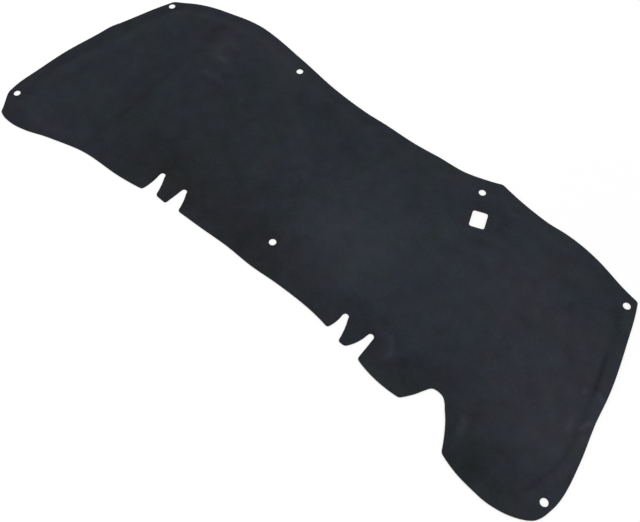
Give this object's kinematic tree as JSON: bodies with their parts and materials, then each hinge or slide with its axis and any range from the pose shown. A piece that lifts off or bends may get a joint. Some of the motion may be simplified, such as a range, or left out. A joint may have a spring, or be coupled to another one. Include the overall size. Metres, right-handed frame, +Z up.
{
  "type": "bonnet insulation pad",
  "caption": "Black felt bonnet insulation pad with a pressed rim, clip holes, a prop-rod hole, notches and a bay along its rear edge.",
  "frame": {"origin": "middle of the pad's bounding box, on the flat back face that it lies on", "axes": "+X across the vehicle, +Y towards the pad's front edge, +Z up out of the pressed face"},
  "size_m": [1.297, 0.514, 0.008],
  "materials": {
    "felt": "matt black non-woven felt, faintly blue, with a soft sheen"
  },
  "bodies": {
    "root": {"insulation_pad": "felt"}
  },
  "joints": []
}
